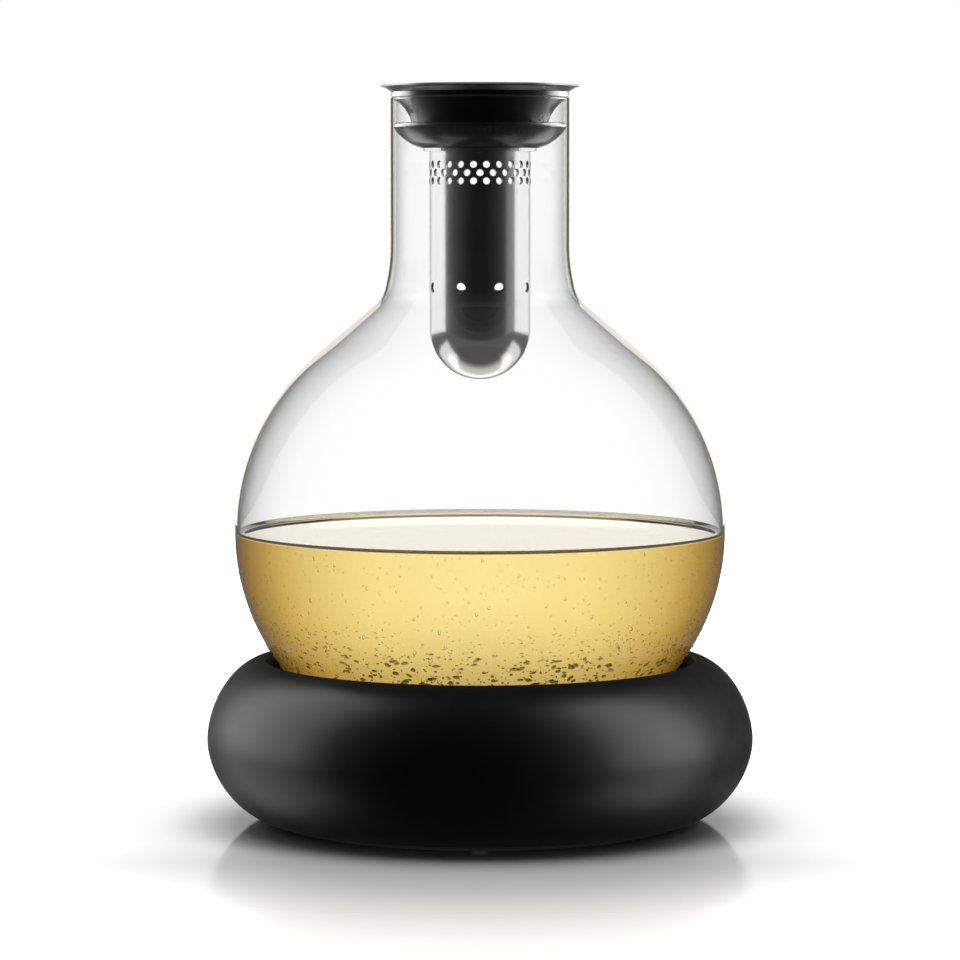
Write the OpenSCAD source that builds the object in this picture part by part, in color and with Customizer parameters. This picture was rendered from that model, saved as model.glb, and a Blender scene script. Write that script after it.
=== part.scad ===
// Round wine carafe with a straining tube in its stopper, standing in a
// ring-shaped cooling base that holds a removable ice core.
// Every piece is a body of revolution about Z; z = 0 is the table.

/* [Carafe] */
// Widest outer diameter of the bulb
bulb_d = 148.3; // [142:0.1:156]
// Diameter of the flat foot, up to its turn
foot_d = 48.6; // [40:0.1:56]
// Radius of the arc below the widest line
lower_arc_r = 66.1; // [60:0.1:72]
// Radius of the arc above the widest line
upper_arc_r = 71.5; // [66:0.1:74]
// Radius of the turn from the bulb's side into its flat foot
foot_turn_r = 12; // [6:0.5:16]
// Outer diameter of the neck
neck_d = 54.4; // [48:0.1:60]
// Height of the rim above the carafe's own foot
carafe_h = 194.5; // [180:0.5:220]
// Thickness of the glass
glass_wall = 1.05; // [0.8:0.05:2]
// Thickness of the glass in the middle of the foot
glass_foot_t = 2.2; // [2.1:0.1:4]
// Slope of the straight part of the shoulder, from the vertical
shoulder_slope = 50.1; // [44:0.1:56]
// Radius of the close curve under the neck
shoulder_turn_r = 10.2; // [6:0.1:16]
// Radius of the long curve that runs out into the neck
neck_flow_r = 53.7; // [30:0.1:70]
// Angle that the long curve turns through
neck_flow_angle = 14; // [8:0.5:18]
// Depth of the wine above the carafe's own foot
wine_depth = 64; // [30:0.5:80]

/* [Stopper and pouring rim] */
// Length of the stopper below the carafe's rim
stopper_depth = 15.3; // [13:0.1:20]
// Distance that the steel pouring rim stands out beyond the neck
pour_rim_overhang = 2.55; // [1.5:0.05:4]
// Height of the pouring rim above the carafe's rim
pour_rim_rise = 3.65; // [3.2:0.05:6]
// Thickness of the steel of the pouring rim
funnel_wall = 0.5; // [0.4:0.05:0.8]
// Thickness of the soft flange that lies on the carafe's rim
seal_flange_t = 1.4; // [1:0.1:2.4]
// Thickness of the soft seal round its socket, between the two lips
seal_wall = 2.85; // [1.5:0.05:4]
// Depth of the lower lip's flat top below the carafe's rim
lower_lip_drop = 7.7; // [6.5:0.1:9]

/* [Straining tube] */
// Outer diameter of the tube
tube_d = 30.5; // [26:0.1:33]
// Length of the tube below the stopper
tube_l = 69.4; // [50:0.1:80]
// Thickness of the tube's steel
tube_wall = 0.6; // [0.4:0.05:1]
// Width of the flange outside the tube
tube_flange_w = 1.95; // [1:0.05:3]
// Thickness of the flange
tube_flange_t = 0.9; // [0.6:0.1:1.5]
// Length of the spigot that pushes up into the stopper
spigot_l = 5.5; // [4:0.1:6]
// Holes in each strainer row
strainer_holes = 24; // [12:1:26]
// Strainer rows
strainer_rows = 3; // [1:1:5]
// Diameter of a strainer hole
strainer_hole_d = 2.2; // [1:0.1:2.4]
// Distance from one strainer row to the next
strainer_pitch = 2.45; // [2.4:0.05:3]
// Drop of the first strainer row below the flange
strainer_drop = 3.9; // [2.5:0.1:8]
// Spray holes lower down the tube
spray_holes = 8; // [4:1:12]
// Diameter of a spray hole
spray_hole_d = 3.3; // [2:0.1:5]
// Drop of the spray holes below the flange
spray_drop = 40.9; // [25:0.1:46]

/* [Cooling base] */
// Distance that the base swells out beyond the crest of its lip
swell_w = 17.05; // [14:0.05:24]
// Height of the base
base_h = 49.05; // [46:0.05:51]
// Height of the base's widest line
base_wide_h = 24.85; // [20:0.05:28]
// Distance from the well's wall in to the edge of the flat underside
floor_inset = 0.6; // [0:0.1:6]
// Roundness of the base's section, two is an ellipse
base_roundness = 1.8; // [1.6:0.05:2.4]
// Thickness of the outer shell
shell_wall = 2.4; // [1.6:0.1:3]
// Thickness of the bottom pan
pan_wall = 2.5; // [2:0.1:4]
// Height that the anti-slip ring lifts the base off the table
foot_proud = 0.6; // [0.3:0.1:1.5]
// Free height between the pan and the well
pan_space = 2; // [1:0.1:4]
// Thickness of the well's wall
well_wall = 1.6; // [1.2:0.1:2.4]
// Gap between the bulb and the well's wall at the well's lip
lip_gap = 3.3; // [2.6:0.1:5]
// Radius of the well's bottom corner
well_turn_r = 12; // [9:0.5:16]

/* [Ice core] */
// Wall of the core's lower tray
tray_wall = 1.5; // [1:0.1:2.4]
// Wall of the core's upper dish
dish_wall = 1.4; // [1.2:0.1:2.4]
// Depth of the coolant under the middle of the dish
core_depth = 13; // [8:0.5:16]
// Distance from the base's top down to the core's rim
core_rim_drop = 7; // [5:0.1:12]
// Clearance between the bulb and the dish
dish_gap = 1.2; // [0.8:0.1:2]
// Width of the soft ring that the carafe rests on
rest_ring_w = 6; // [4:0.5:8]
// Height that the soft ring stands above the dish
rest_proud = 1.1; // [0.6:0.1:2]

/* [Hidden] */
$fn = 96;
// Largest step of an arc, in degrees
arc_step = 4;
// Overrun of every cut
over = 1;

// Clearances
// Between pieces that are fixed to each other
fit_gap = 0.05;
// Between the stopper's lips and the neck, all round
lip_fit = 0.1;
// Between the tube's spigot and its socket, all round
spigot_fit = 0.1;
// Between the ice core and the well
core_gap = 0.35;
// Between the foam and the walls beside it
foam_gap = 0.4;

// Heights of the base and the core, from the table up
pan_top = foot_proud + pan_wall;
well_under = pan_top + pan_space;
well_floor = well_under + well_wall;
core_under = well_floor + core_gap;
tray_floor = core_under + tray_wall;
dish_under = tray_floor + core_depth;
dish_floor = dish_under + dish_wall;
seat_z = dish_floor + rest_proud;
core_top = base_h - core_rim_drop;

// Carafe
bulb_r = bulb_d / 2;
neck_r = neck_d / 2;
neck_in_r = neck_r - glass_wall;
rim_z = seat_z + carafe_h;
wine_z = seat_z + wine_depth;
lower_cx = bulb_r - lower_arc_r;
upper_cx = bulb_r - upper_arc_r;
foot_turn_x = foot_d / 2;
foot_turn_z = seat_z + foot_turn_r;
// Height of the widest line, where the lower arc runs out of the foot's turn
mid_z = foot_turn_z + sqrt(pow(lower_arc_r - foot_turn_r, 2) - pow(foot_turn_x - lower_cx, 2));
foot_turn_angle = atan2(foot_turn_z - mid_z, foot_turn_x - lower_cx);
// The shoulder: where the straight part starts, its length, and the centres of the two curves above it
straight_x = upper_cx + upper_arc_r * cos(shoulder_slope);
straight_l = (straight_x - neck_r - neck_flow_r * (1 - cos(neck_flow_angle))
  - shoulder_turn_r * (cos(neck_flow_angle) - cos(shoulder_slope))) / sin(shoulder_slope);
straight_end = [straight_x - straight_l * sin(shoulder_slope),
  mid_z + upper_arc_r * sin(shoulder_slope) + straight_l * cos(shoulder_slope)];
turn_c = straight_end + shoulder_turn_r * [cos(shoulder_slope), sin(shoulder_slope)];
flow_c = turn_c + (neck_flow_r - shoulder_turn_r) * [cos(neck_flow_angle), sin(neck_flow_angle)];
// The foot's shallow hollow
foot_kick_r_share = 0.6;
foot_kick_h_share = 0.5;
foot_kick_r = foot_turn_x * foot_kick_r_share;
foot_kick_h = glass_wall * foot_kick_h_share;
// Smallest gap between the wine and the glass
fill_gap = fit_gap;

// Cooling base
power = 2 / base_roundness;
lip_round = 0.7;
lip_flat = 0.8;
// Inner radius of the well, from the bulb where it passes the lip
bulb_lip_r = lower_cx + sqrt(pow(lower_arc_r, 2) - pow(mid_z - base_h, 2));
flange_r = bulb_lip_r + lip_gap;
well_lip_r = 1.9;
well_r = flange_r - lip_flat - well_lip_r;
flange_top = base_h - lip_round;
flange_t = 1.5;
ledge_z = flange_top - flange_t;
crest_r = flange_r + fit_gap + lip_round;
base_r = crest_r + swell_w;
base_floor_r = well_r - floor_inset;
well_out_r = well_r + well_wall;
skirt_r = well_out_r + fit_gap;
skirt_t = 1.7;
skirt_l = 3.3;
// Angle at which the pan takes over from the shell, below the widest line
seam_angle = 67.5;
seam_r = base_floor_r + (base_r - base_floor_r) * pow(cos(seam_angle), power);
pan_r = seam_r - fit_gap;
pan_rim_t = 1.8;
pan_rim_h = 2.9;
pan_rim_top = pan_top + pan_rim_h;
pan_ledge_w = 1.6;
pan_ledge_t = 1.2;
// Screws and their bosses
screw_count = 4;
screw_r = 1.4;
screw_head_r = 2.5;
screw_head_t = 1.2;
screw_hole_r = screw_r + lip_fit;
screw_cup_r = screw_head_r + foam_gap;
screw_cup_depth = screw_head_t + fit_gap;
screw_drive_w = 0.7;
screw_drive_depth = 0.7;
screw_head_z = foot_proud + screw_cup_depth;
// What the screws leave of the well's floor
well_skin = 0.8;
screw_tip_z = well_floor - well_skin;
boss_r = 3;
boss_rise = 3;
boss_inset = 3.2;
boss_at_r = base_floor_r - boss_inset;
boss_top = well_floor + boss_rise;
// Anti-slip ring under the pan
foot_ring_w = 6;
foot_ring_inset = 2;
foot_ring_out_r = boss_at_r - boss_r - foot_ring_inset;
foot_groove = 1.2;
foot_ring_round = 0.4;
// Foam between the shell and the well
foam_under = boss_top + foam_gap;
foam_top = ledge_z - skirt_l - foam_gap;

// Ice core
core_r = well_r - core_gap;
core_turn_z = well_floor + well_turn_r;
core_turn_x = well_r - well_turn_r;
dish_arc_r = lower_arc_r + dish_gap;
dish_under_arc_r = dish_arc_r + dish_wall;
gel_headroom = 4;
gel_top = core_top - dish_wall - gel_headroom;
plug_r = 6.9;
plug_head_r = 8.5;
plug_head_t = 0.7;
plug_slot_w = 1.6;
rest_groove = 0.8;
rest_ring_out_r = foot_turn_x - fit_gap;
rest_round = 0.4;

// Stopper, from the carafe's rim down
lip_r = neck_in_r - lip_fit;
flange_under = rim_z + lip_fit;
flange_over = flange_under + seal_flange_t;
seal_flange_r = neck_r - glass_wall / 2;
stopper_under = rim_z - stopper_depth;

// Straining tube and its socket
tube_r = tube_d / 2;
tube_in_r = tube_r - tube_wall;
tube_flange_r = tube_r + tube_flange_w;
flange_face = stopper_under - fit_gap;
flange_back = flange_face - tube_flange_t;
tube_under = flange_back - tube_l + tube_flange_t;
tube_ball_z = tube_under + tube_r;
spigot_top = flange_face + spigot_l;
socket_r = tube_r + spigot_fit;
socket_wall = 2.4;
socket_out_r = socket_r + socket_wall;
sleeve_under = spigot_top + 2 * fit_gap;
grip_r = 0.9;
grip_z = stopper_under + spigot_l / 2;
grip_c = tube_r + fit_gap + grip_r;

// The seal's two lips, with their bends as shares of the straight way across them
waist_r = socket_out_r + seal_wall;
lower_lip_round_share = 0.24;
lower_lip_round = (lip_r - waist_r) * lower_lip_round_share;
lower_lip_top = rim_z - lower_lip_drop;
lip_tip_t = 0.9;
upper_lip_root = [waist_r, lower_lip_top];
upper_lip_tip = [lip_r, flange_under - lip_tip_t];
upper_lip_bend_share = 1.37;
upper_lip_bend_r = norm(upper_lip_tip - upper_lip_root) * upper_lip_bend_share;
bowl_root = [tube_flange_r, stopper_under];
bowl_tip = [lip_r, lower_lip_top - lower_lip_round];
bowl_bend_share = 1.18;
bowl_bend_r = norm(bowl_tip - bowl_root) * bowl_bend_share;

// Pouring funnel, from its edge down: flare, straight cone, turn and throat
pour_rim_r = neck_r + pour_rim_overhang;
pour_rim_top = rim_z + pour_rim_rise;
throat_r = socket_r - fit_gap - funnel_wall;
sleeve_l = 2.3;
funnel_turn_r = 4;
funnel_turn_c = [throat_r + funnel_turn_r, sleeve_under + sleeve_l];
flare_r = 4.6;
flare_edge_slope = 83;
flare_c = [pour_rim_r + flare_r * cos(flare_edge_slope), pour_rim_top - flare_r * sin(flare_edge_slope)];
// The cone touches both curves, so its slope follows from where they are
turn_to_flare = flare_c - funnel_turn_c;
funnel_slope = atan2(turn_to_flare[0], turn_to_flare[1])
  - asin((flare_r - funnel_turn_r) / norm(turn_to_flare));
socket_top = funnel_turn_c[1];

// Points of an arc about a centre, from one angle to another
function arc(centre, r, from, to) =
  let (n = max(1, ceil(abs(to - from) / arc_step)))
  [for (i = [0 : n]) centre + r * [cos(from + (to - from) * i / n), sin(from + (to - from) * i / n)]];

// Points of a trumpet-shaped arc that bends away from the axis as it rises
function flare(centre, r, from, to) =
  let (n = max(1, ceil(abs(to - from) / arc_step)))
  [for (i = [0 : n]) centre + r * [-cos(from + (to - from) * i / n), sin(from + (to - from) * i / n)]];

// Centre of the circle through two points, on the left of the way from p to q, or on its right for side -1
function centre_of(p, q, r, side) =
  let (chord = q - p, half = norm(chord) / 2)
  (p + q) / 2 + side * sqrt(r * r - half * half) * [-chord[1], chord[0]] / norm(chord);
// Angle of a point as seen from a centre
function angle_from(centre, p) = atan2(p[1] - centre[1], p[0] - centre[0]);

// Point of the base's outline at an angle below or above its widest line, moved inwards by a wall
function below_wide(angle, wall) =
  [base_floor_r + (base_r - wall - base_floor_r) * pow(cos(angle), power),
    base_wide_h - (base_wide_h - foot_proud - wall) * pow(sin(angle), power)];
function above_wide(angle, wall) =
  [crest_r + (base_r - wall - crest_r) * pow(cos(angle), power),
    base_wide_h + (base_h - wall - base_wide_h) * pow(sin(angle), power)];
// Angles at which those curves reach a height
function angle_below(z, wall) = asin(pow((base_wide_h - z) / (base_wide_h - foot_proud - wall), 1 / power));
function angle_above(z, wall) = asin(pow((z - base_wide_h) / (base_h - wall - base_wide_h), 1 / power));
// Angle at which the lower curve reaches a radius
function angle_below_at(r, wall) = acos(pow((r - base_floor_r) / (base_r - wall - base_floor_r), 1 / power));
function below_wide_curve(from, to, wall) =
  let (n = max(1, ceil(abs(to - from) / arc_step)))
  [for (i = [0 : n]) below_wide(from + (to - from) * i / n, wall)];
function above_wide_curve(from, to, wall) =
  let (n = max(1, ceil(abs(to - from) / arc_step)))
  [for (i = [0 : n]) above_wide(from + (to - from) * i / n, wall)];

// The carafe's side from an angle on the lower arc up to the neck, moved inwards by a wall
function carafe_side(from, inset) = concat(
  arc([lower_cx, mid_z], lower_arc_r - inset, from, 0),
  arc([upper_cx, mid_z], upper_arc_r - inset, arc_step, shoulder_slope),
  flare(turn_c, shoulder_turn_r + inset, -shoulder_slope, -neck_flow_angle),
  flare(flow_c, neck_flow_r + inset, arc_step - neck_flow_angle, 0)
);
// Angle on the lower arc, moved inwards by a wall, at a height
function lower_angle(z, inset) = -asin((mid_z - z) / (lower_arc_r - inset));

// The funnel's inner face from its sleeve up to its edge, moved outwards by a wall
function funnel_curve(wall) = concat(
  [[throat_r + wall, sleeve_under]],
  flare(funnel_turn_c, funnel_turn_r - wall, 0, funnel_slope),
  flare(flare_c, flare_r - wall, funnel_slope, flare_edge_slope)
);

// A ring turned from a rectangle
module ring(in_r, out_r, low_z, high_z) {
  translate([0, 0, low_z]) difference() {
    cylinder(r = out_r, h = high_z - low_z);
    translate([0, 0, -over]) cylinder(r = in_r, h = high_z - low_z + 2 * over);
  }
}

// Places children round the axis
module around(count, start = 0) {
  for (i = [0 : count - 1]) rotate([0, 0, start + i * 360 / count]) children();
}

// Outer shell of the base: side, crest, lip rebate and the ledge that the pan closes against
module base_shell() {
  skirt_under = ledge_z - skirt_l;
  skirt_out_r = skirt_r + skirt_t;
  skirt_root = base_h - shell_wall - lip_round;
  inner_start = angle_above(skirt_root, shell_wall);
  ledge_top = pan_rim_top + pan_ledge_t;
  inner_end = angle_below(ledge_top, shell_wall);
  color("#1c1c1d") rotate_extrude() polygon(concat(
    below_wide_curve(seam_angle, 0, 0),
    above_wide_curve(arc_step, 90, 0),
    arc([crest_r, base_h - lip_round], lip_round, 90 + arc_step, 180),
    [[flange_r + fit_gap, ledge_z], [skirt_r, ledge_z], [skirt_r, skirt_under], [skirt_out_r, skirt_under],
      [skirt_out_r, skirt_root - lip_round]],
    above_wide_curve(inner_start, 0, shell_wall),
    below_wide_curve(arc_step, inner_end, shell_wall),
    [[seam_r - pan_ledge_w, ledge_top], [seam_r - pan_ledge_w, pan_rim_top], [seam_r, pan_rim_top]]
  ));
}

// Bottom pan: closes the shell, carries the anti-slip ring and takes the screws
module base_pan() {
  pan_in_r = pan_r - pan_rim_t;
  color("#222224") difference() {
    rotate_extrude() polygon(concat(
      [[0, foot_proud]],
      below_wide_curve(90, angle_below_at(pan_r, 0), 0),
      [[pan_r, pan_rim_top], [pan_in_r, pan_rim_top]],
      below_wide_curve(angle_below_at(pan_in_r, pan_wall), 90, pan_wall),
      [[0, pan_top]]
    ));
    ring(foot_ring_out_r - foot_ring_w - fit_gap, foot_ring_out_r + fit_gap,
      foot_proud - over, foot_proud + foot_groove);
    around(screw_count) translate([boss_at_r, 0, 0]) {
      translate([0, 0, foot_proud - over]) cylinder(r = screw_cup_r, h = over + screw_cup_depth);
      translate([0, 0, foot_proud]) cylinder(r = screw_hole_r, h = pan_wall + over);
    }
  }
}

// Well: the bowl inside the base, hung from the shell's lip by its flange, with bosses for the screws
module well_liner() {
  color("#26272a") difference() {
    union() {
      rotate_extrude() polygon(concat(
        [[0, well_under]],
        arc([core_turn_x, core_turn_z], well_turn_r + well_wall, -90, 0),
        [[well_out_r, ledge_z], [flange_r, ledge_z], [flange_r, flange_top], [0, flange_top]]
      ));
      around(screw_count) translate([boss_at_r, 0, pan_top]) cylinder(r = boss_r, h = boss_top - pan_top);
    }
    rotate_extrude() polygon(concat(
      [[0, well_floor]],
      arc([core_turn_x, core_turn_z], well_turn_r, -90, 0),
      arc([well_r + well_lip_r, flange_top - well_lip_r], well_lip_r, 180, 90),
      [[well_r + well_lip_r, flange_top + over], [0, flange_top + over]]
    ));
    around(screw_count) translate([boss_at_r, 0, pan_top - over])
      cylinder(r = screw_r + fit_gap, h = over + screw_tip_z - pan_top + fit_gap);
  }
}

// Foam that keeps the cold in the well
module insulation_ring() {
  wall = shell_wall + foam_gap;
  color("#d9d7cf") rotate_extrude() polygon(concat(
    [[well_out_r + foam_gap, foam_under]],
    below_wide_curve(angle_below(foam_under, wall), 0, wall),
    above_wide_curve(arc_step, angle_above(foam_top, wall), wall),
    [[well_out_r + foam_gap, foam_top]]
  ));
}

// Pan-head screws that pull the pan and the well together
module pan_screws() {
  color("silver") around(screw_count) translate([boss_at_r, 0, 0]) difference() {
    union() {
      translate([0, 0, screw_head_z - screw_head_t]) cylinder(r = screw_head_r, h = screw_head_t);
      translate([0, 0, screw_head_z]) cylinder(r = screw_r, h = screw_tip_z - screw_head_z);
    }
    for (a = [0, 90]) rotate([0, 0, a])
      translate([-screw_r, -screw_drive_w / 2, screw_head_z - screw_head_t - over])
      cube([2 * screw_r, screw_drive_w, over + screw_drive_depth]);
  }
}

// Anti-slip ring in the pan's groove: the part rests on it
module foot_ring() {
  in_r = foot_ring_out_r - foot_ring_w;
  color("#101010") rotate_extrude() polygon([
    [in_r + foot_ring_round, 0], [foot_ring_out_r - foot_ring_round, 0],
    [foot_ring_out_r, foot_ring_round], [foot_ring_out_r, foot_proud + foot_groove - fit_gap],
    [in_r, foot_proud + foot_groove - fit_gap], [in_r, foot_ring_round]
  ]);
}

// Upper dish of the ice core: follows the bulb all round and carries the rest ring
module core_dish() {
  rim_under = core_top - dish_wall;
  color("#3a3d42") difference() {
    rotate_extrude() polygon(concat(
      [[0, dish_floor]],
      arc([lower_cx, mid_z], dish_arc_r, -asin((mid_z - dish_floor) / dish_arc_r),
        -asin((mid_z - core_top) / dish_arc_r)),
      [[core_r, core_top], [core_r, rim_under]],
      arc([lower_cx, mid_z], dish_under_arc_r, -asin((mid_z - rim_under) / dish_under_arc_r),
        -asin((mid_z - dish_under) / dish_under_arc_r)),
      [[0, dish_under]]
    ));
    ring(rest_ring_out_r - rest_ring_w - fit_gap, rest_ring_out_r + fit_gap, dish_floor - rest_groove,
      dish_floor + over);
  }
}

// Lower tray of the ice core, with the filling hole in its floor
module core_tray() {
  tray_turn_r = well_turn_r - core_gap;
  tray_top = core_top - dish_wall;
  color("#2f3236") difference() {
    rotate_extrude() polygon(concat(
      [[0, core_under]],
      arc([core_turn_x, core_turn_z], tray_turn_r, -90, 0),
      [[core_r, tray_top], [core_r - tray_wall, tray_top]],
      arc([core_turn_x, core_turn_z], tray_turn_r - tray_wall, 0, -90),
      [[0, tray_floor]]
    ));
    translate([0, 0, core_under - over]) cylinder(r = plug_r + fit_gap, h = tray_wall + 2 * over);
    translate([0, 0, core_under - over]) cylinder(r = plug_head_r + fit_gap, h = over + plug_head_t);
  }
}

// Coolant between the tray and the dish, with room left above it to expand
module coolant_gel() {
  gel_turn_r = well_turn_r - core_gap - tray_wall - fill_gap;
  gel_arc_r = dish_under_arc_r + fill_gap;
  gel_over = dish_under - fill_gap;
  color("#9fd3e6") rotate_extrude() polygon(concat(
    [[0, tray_floor + fill_gap]],
    arc([core_turn_x, core_turn_z], gel_turn_r, -90, 0),
    [[core_r - tray_wall - fill_gap, gel_top]],
    arc([lower_cx, mid_z], gel_arc_r, -asin((mid_z - gel_top) / gel_arc_r),
      -asin((mid_z - gel_over) / gel_arc_r)),
    [[0, gel_over]]
  ));
}

// Plug of the core's filling hole, with a slot for a coin
module filler_plug() {
  color("#55585d") difference() {
    union() {
      translate([0, 0, core_under]) cylinder(r = plug_head_r, h = plug_head_t - fit_gap);
      translate([0, 0, core_under]) cylinder(r = plug_r, h = tray_wall);
    }
    translate([-plug_r, -plug_slot_w / 2, core_under - over])
      cube([2 * plug_r, plug_slot_w, over + plug_head_t]);
  }
}

// Soft ring that the carafe stands on
module rest_ring() {
  in_r = rest_ring_out_r - rest_ring_w;
  low_z = dish_floor - rest_groove;
  top_z = seat_z - fit_gap;
  color("#151515") rotate_extrude() polygon([
    [in_r, low_z], [rest_ring_out_r, low_z], [rest_ring_out_r, top_z - rest_round],
    [rest_ring_out_r - rest_round, top_z], [in_r + rest_round, top_z], [in_r, top_z - rest_round]
  ]);
}

// Blown carafe: flat foot with a shallow hollow, round bulb, sloping shoulder, straight neck, melted rim
module glass_carafe() {
  rim_c = [neck_r - glass_wall / 2, rim_z - glass_wall / 2];
  floor_z = seat_z + glass_foot_t;
  outer = concat(
    [[0, seat_z + foot_kick_h], [foot_kick_r, seat_z + foot_kick_h], [foot_kick_r + foot_kick_h, seat_z]],
    arc([foot_turn_x, foot_turn_z], foot_turn_r, -90, foot_turn_angle),
    carafe_side(foot_turn_angle + arc_step / 2, 0)
  );
  inner = concat([[0, floor_z]], carafe_side(lower_angle(floor_z, glass_wall), glass_wall));
  color([0.85, 0.9, 0.92, 0.35]) rotate_extrude() polygon(concat(
    outer,
    arc(rim_c, glass_wall / 2, 0, 180),
    [for (i = [len(inner) - 1 : -1 : 0]) inner[i]]
  ));
}

// Wine as it stands in the carafe
module wine() {
  inset = glass_wall + fill_gap;
  low_z = seat_z + glass_foot_t + fill_gap;
  above = wine_z > mid_z;
  lower_end = above ? 0 : lower_angle(wine_z, inset);
  upper_r = upper_arc_r - inset;
  color([0.93, 0.82, 0.45, 0.7]) rotate_extrude() polygon(concat(
    [[0, low_z]],
    arc([lower_cx, mid_z], lower_arc_r - inset, lower_angle(low_z, inset), lower_end),
    above ? arc([upper_cx, mid_z], upper_r, 0, asin((wine_z - mid_z) / upper_r)) : [],
    [[0, wine_z]]
  ));
}

// Steel pouring funnel: flared edge, cone and the sleeve that drops into the socket
module pour_funnel() {
  lower = funnel_curve(funnel_wall);
  upper = funnel_curve(0);
  color("#b9babb") rotate_extrude() polygon(concat(lower, [for (i = [len(upper) - 1 : -1 : 0]) upper[i]]));
}

// Socket inside the stopper: holds the funnel's sleeve from above and the tube's spigot from below
module stopper_core() {
  color("#2b2b2c") difference() {
    ring(socket_r, socket_out_r, stopper_under, socket_top);
    translate([0, 0, grip_z]) rotate_extrude() translate([grip_c, 0]) circle(r = grip_r + fit_gap);
  }
}

// Ring in the socket's groove that grips the spigot
module tube_grip_ring() {
  color("#0d0d0d") translate([0, 0, grip_z]) rotate_extrude() translate([grip_c, 0]) circle(r = grip_r);
}

// Soft stopper: flange on the carafe's rim, trumpet-shaped upper lip and bowl-shaped lower lip
module stopper_seal() {
  bowl_c = centre_of(bowl_root, bowl_tip, bowl_bend_r, 1);
  upper_c = centre_of(upper_lip_root, upper_lip_tip, upper_lip_bend_r, -1);
  under = funnel_curve(funnel_wall + fit_gap);
  color("#131313") rotate_extrude() difference() {
    polygon(concat(
      [[socket_out_r - over, stopper_under]],
      arc(bowl_c, bowl_bend_r, angle_from(bowl_c, bowl_root), angle_from(bowl_c, bowl_tip)),
      arc([lip_r - lower_lip_round, bowl_tip[1]], lower_lip_round, arc_step, 90),
      arc(upper_c, upper_lip_bend_r, angle_from(upper_c, upper_lip_root), angle_from(upper_c, upper_lip_tip)),
      [[lip_r, flange_under], [seal_flange_r, flange_under], [seal_flange_r, flange_over],
        [socket_out_r - over, flange_over]]
    ));
    square([socket_out_r + fit_gap, socket_top + fit_gap]);
    polygon(concat(under, [[pour_rim_r, pour_rim_top + over], [0, pour_rim_top + over], [0, under[0][1]]]));
  }
}

// Deep-drawn straining tube: round closed end, flange, strainer rows and spray holes
module strainer_tube() {
  color("#a8aaac") difference() {
    rotate_extrude() polygon(concat(
      [[0, tube_under]],
      arc([0, tube_ball_z], tube_r, -90 + arc_step, 0),
      [[tube_r, flange_back], [tube_flange_r, flange_back], [tube_flange_r, flange_face],
        [tube_r, flange_face], [tube_r, spigot_top], [tube_in_r, spigot_top]],
      arc([0, tube_ball_z], tube_in_r, 0, -90 + arc_step),
      [[0, tube_under + tube_wall]]
    ));
    for (row = [0 : strainer_rows - 1])
      around(strainer_holes, start = -90 + (row % 2 == 0 ? 180 / strainer_holes : 0))
      tube_hole(strainer_hole_d, flange_back - strainer_drop - row * strainer_pitch);
    around(spray_holes, start = -90 + 180 / spray_holes) tube_hole(spray_hole_d, flange_back - spray_drop);
  }
}

// A drill through one wall of the tube
module tube_hole(d, z) {
  translate([tube_in_r - over, 0, z]) rotate([0, 90, 0]) cylinder(d = d, h = tube_wall + 2 * over);
}

base_shell();
base_pan();
well_liner();
insulation_ring();
pan_screws();
foot_ring();
core_dish();
core_tray();
coolant_gel();
filler_plug();
rest_ring();
glass_carafe();
wine();
pour_funnel();
stopper_core();
stopper_seal();
tube_grip_ring();
strainer_tube();
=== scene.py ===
"""Cooling wine carafe: finishes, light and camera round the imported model."""
import math
import random

import bmesh
import bpy
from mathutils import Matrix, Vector

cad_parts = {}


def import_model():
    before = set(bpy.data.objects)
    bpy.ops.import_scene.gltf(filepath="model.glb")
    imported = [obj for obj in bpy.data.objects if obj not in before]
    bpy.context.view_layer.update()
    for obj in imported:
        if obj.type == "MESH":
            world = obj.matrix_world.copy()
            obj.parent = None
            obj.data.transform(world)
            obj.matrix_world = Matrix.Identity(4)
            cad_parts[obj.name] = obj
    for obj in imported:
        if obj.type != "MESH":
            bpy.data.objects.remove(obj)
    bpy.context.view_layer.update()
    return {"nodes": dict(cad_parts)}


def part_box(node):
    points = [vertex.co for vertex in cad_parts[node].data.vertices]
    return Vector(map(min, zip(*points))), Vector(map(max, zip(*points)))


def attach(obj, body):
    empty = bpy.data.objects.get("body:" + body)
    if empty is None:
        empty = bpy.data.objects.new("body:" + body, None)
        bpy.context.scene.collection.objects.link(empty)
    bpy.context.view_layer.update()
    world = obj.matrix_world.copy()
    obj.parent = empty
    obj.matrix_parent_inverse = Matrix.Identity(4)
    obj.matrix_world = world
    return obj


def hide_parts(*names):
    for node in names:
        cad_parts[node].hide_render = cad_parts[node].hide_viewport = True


MM = 0.001

# Facets round a turned piece, and the turns above which an edge stays an edge: in a finer skin, in a CAD mesh
SIDES = 192
SHARP = math.radians(15)
SHARP_IN_CAD = math.radians(25)

# Distances in metres below which a point is on the axis, and two points are one
ON_AXIS = 1e-7
SAME_POINT = 1e-6

# The photograph's camera: lengths in its pixels, of which one is 0.302 mm at the object's axis
PICTURE_SIDE = 960
FOCAL_PIXELS = 3757
GROUND_ROW = 821.6
EYE_ROW = 200
PIXEL = 0.302
SENSOR = 36.0
FOCAL = SENSOR * FOCAL_PIXELS / PICTURE_SIDE
DISTANCE = FOCAL_PIXELS * PIXEL * MM
EYE_HEIGHT = (GROUND_ROW - EYE_ROW) * PIXEL * MM
AIM_HEIGHT = 0.1032

# The studio in metres: the floor's reach, and where most soft panels stand and how tall they are
FLOOR_FRONT = 0.27
FLOOR_BACK = 6.0
FLOOR_SIDE = 4.0
PANEL_HEIGHT = 0.45
PANEL_DISTANCE = 1.1
PANEL_TALL = 1.6

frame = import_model()


# Outlines

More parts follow.
